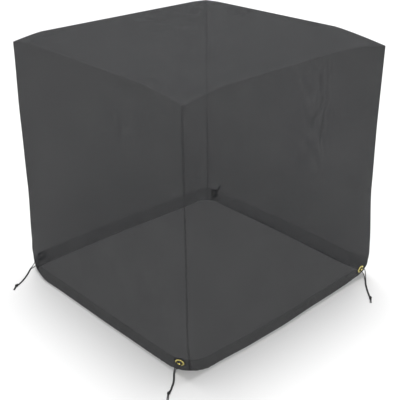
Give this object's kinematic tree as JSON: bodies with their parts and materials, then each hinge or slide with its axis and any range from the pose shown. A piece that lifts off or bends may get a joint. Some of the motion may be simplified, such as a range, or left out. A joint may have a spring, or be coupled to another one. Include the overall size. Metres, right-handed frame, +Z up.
{
  "type": "fitted mesh air conditioner cover",
  "caption": "Square fitted outdoor cover of black sheer mesh with a flat top, four walls, a drawcord hem, brass grommets and knotted cord ties",
  "frame": {"origin": "middle of the underside of the top panel, where the covered unit carries the cover", "axes": "+Z up, -Y the front wall, +X the right wall as seen facing the front"},
  "size_m": [1.123, 1.2223, 0.95],
  "materials": {
    "mesh_cloth": "black woven polyester mesh, sheer, matt with a faint sheen",
    "grommet_brass": "rolled and polished brass",
    "drawcord": "braided dark grey polyester cord, matt"
  },
  "bodies": {
    "root": {"top_panel": "mesh_cloth", "wall_front": "mesh_cloth", "wall_right": "mesh_cloth", "wall_back": "mesh_cloth", "wall_left": "mesh_cloth", "grommet_front": "grommet_brass", "grommet_right": "grommet_brass", "grommet_back": "grommet_brass", "grommet_left": "grommet_brass", "cord_front_a": "drawcord", "cord_front_b": "drawcord", "knot_front": "drawcord", "cord_right_a": "drawcord", "cord_right_b": "drawcord", "knot_right": "drawcord", "cord_back_a": "drawcord", "cord_back_b": "drawcord", "knot_back": "drawcord", "cord_left_a": "drawcord", "cord_left_b": "drawcord", "knot_left": "drawcord"}
  },
  "joints": []
}
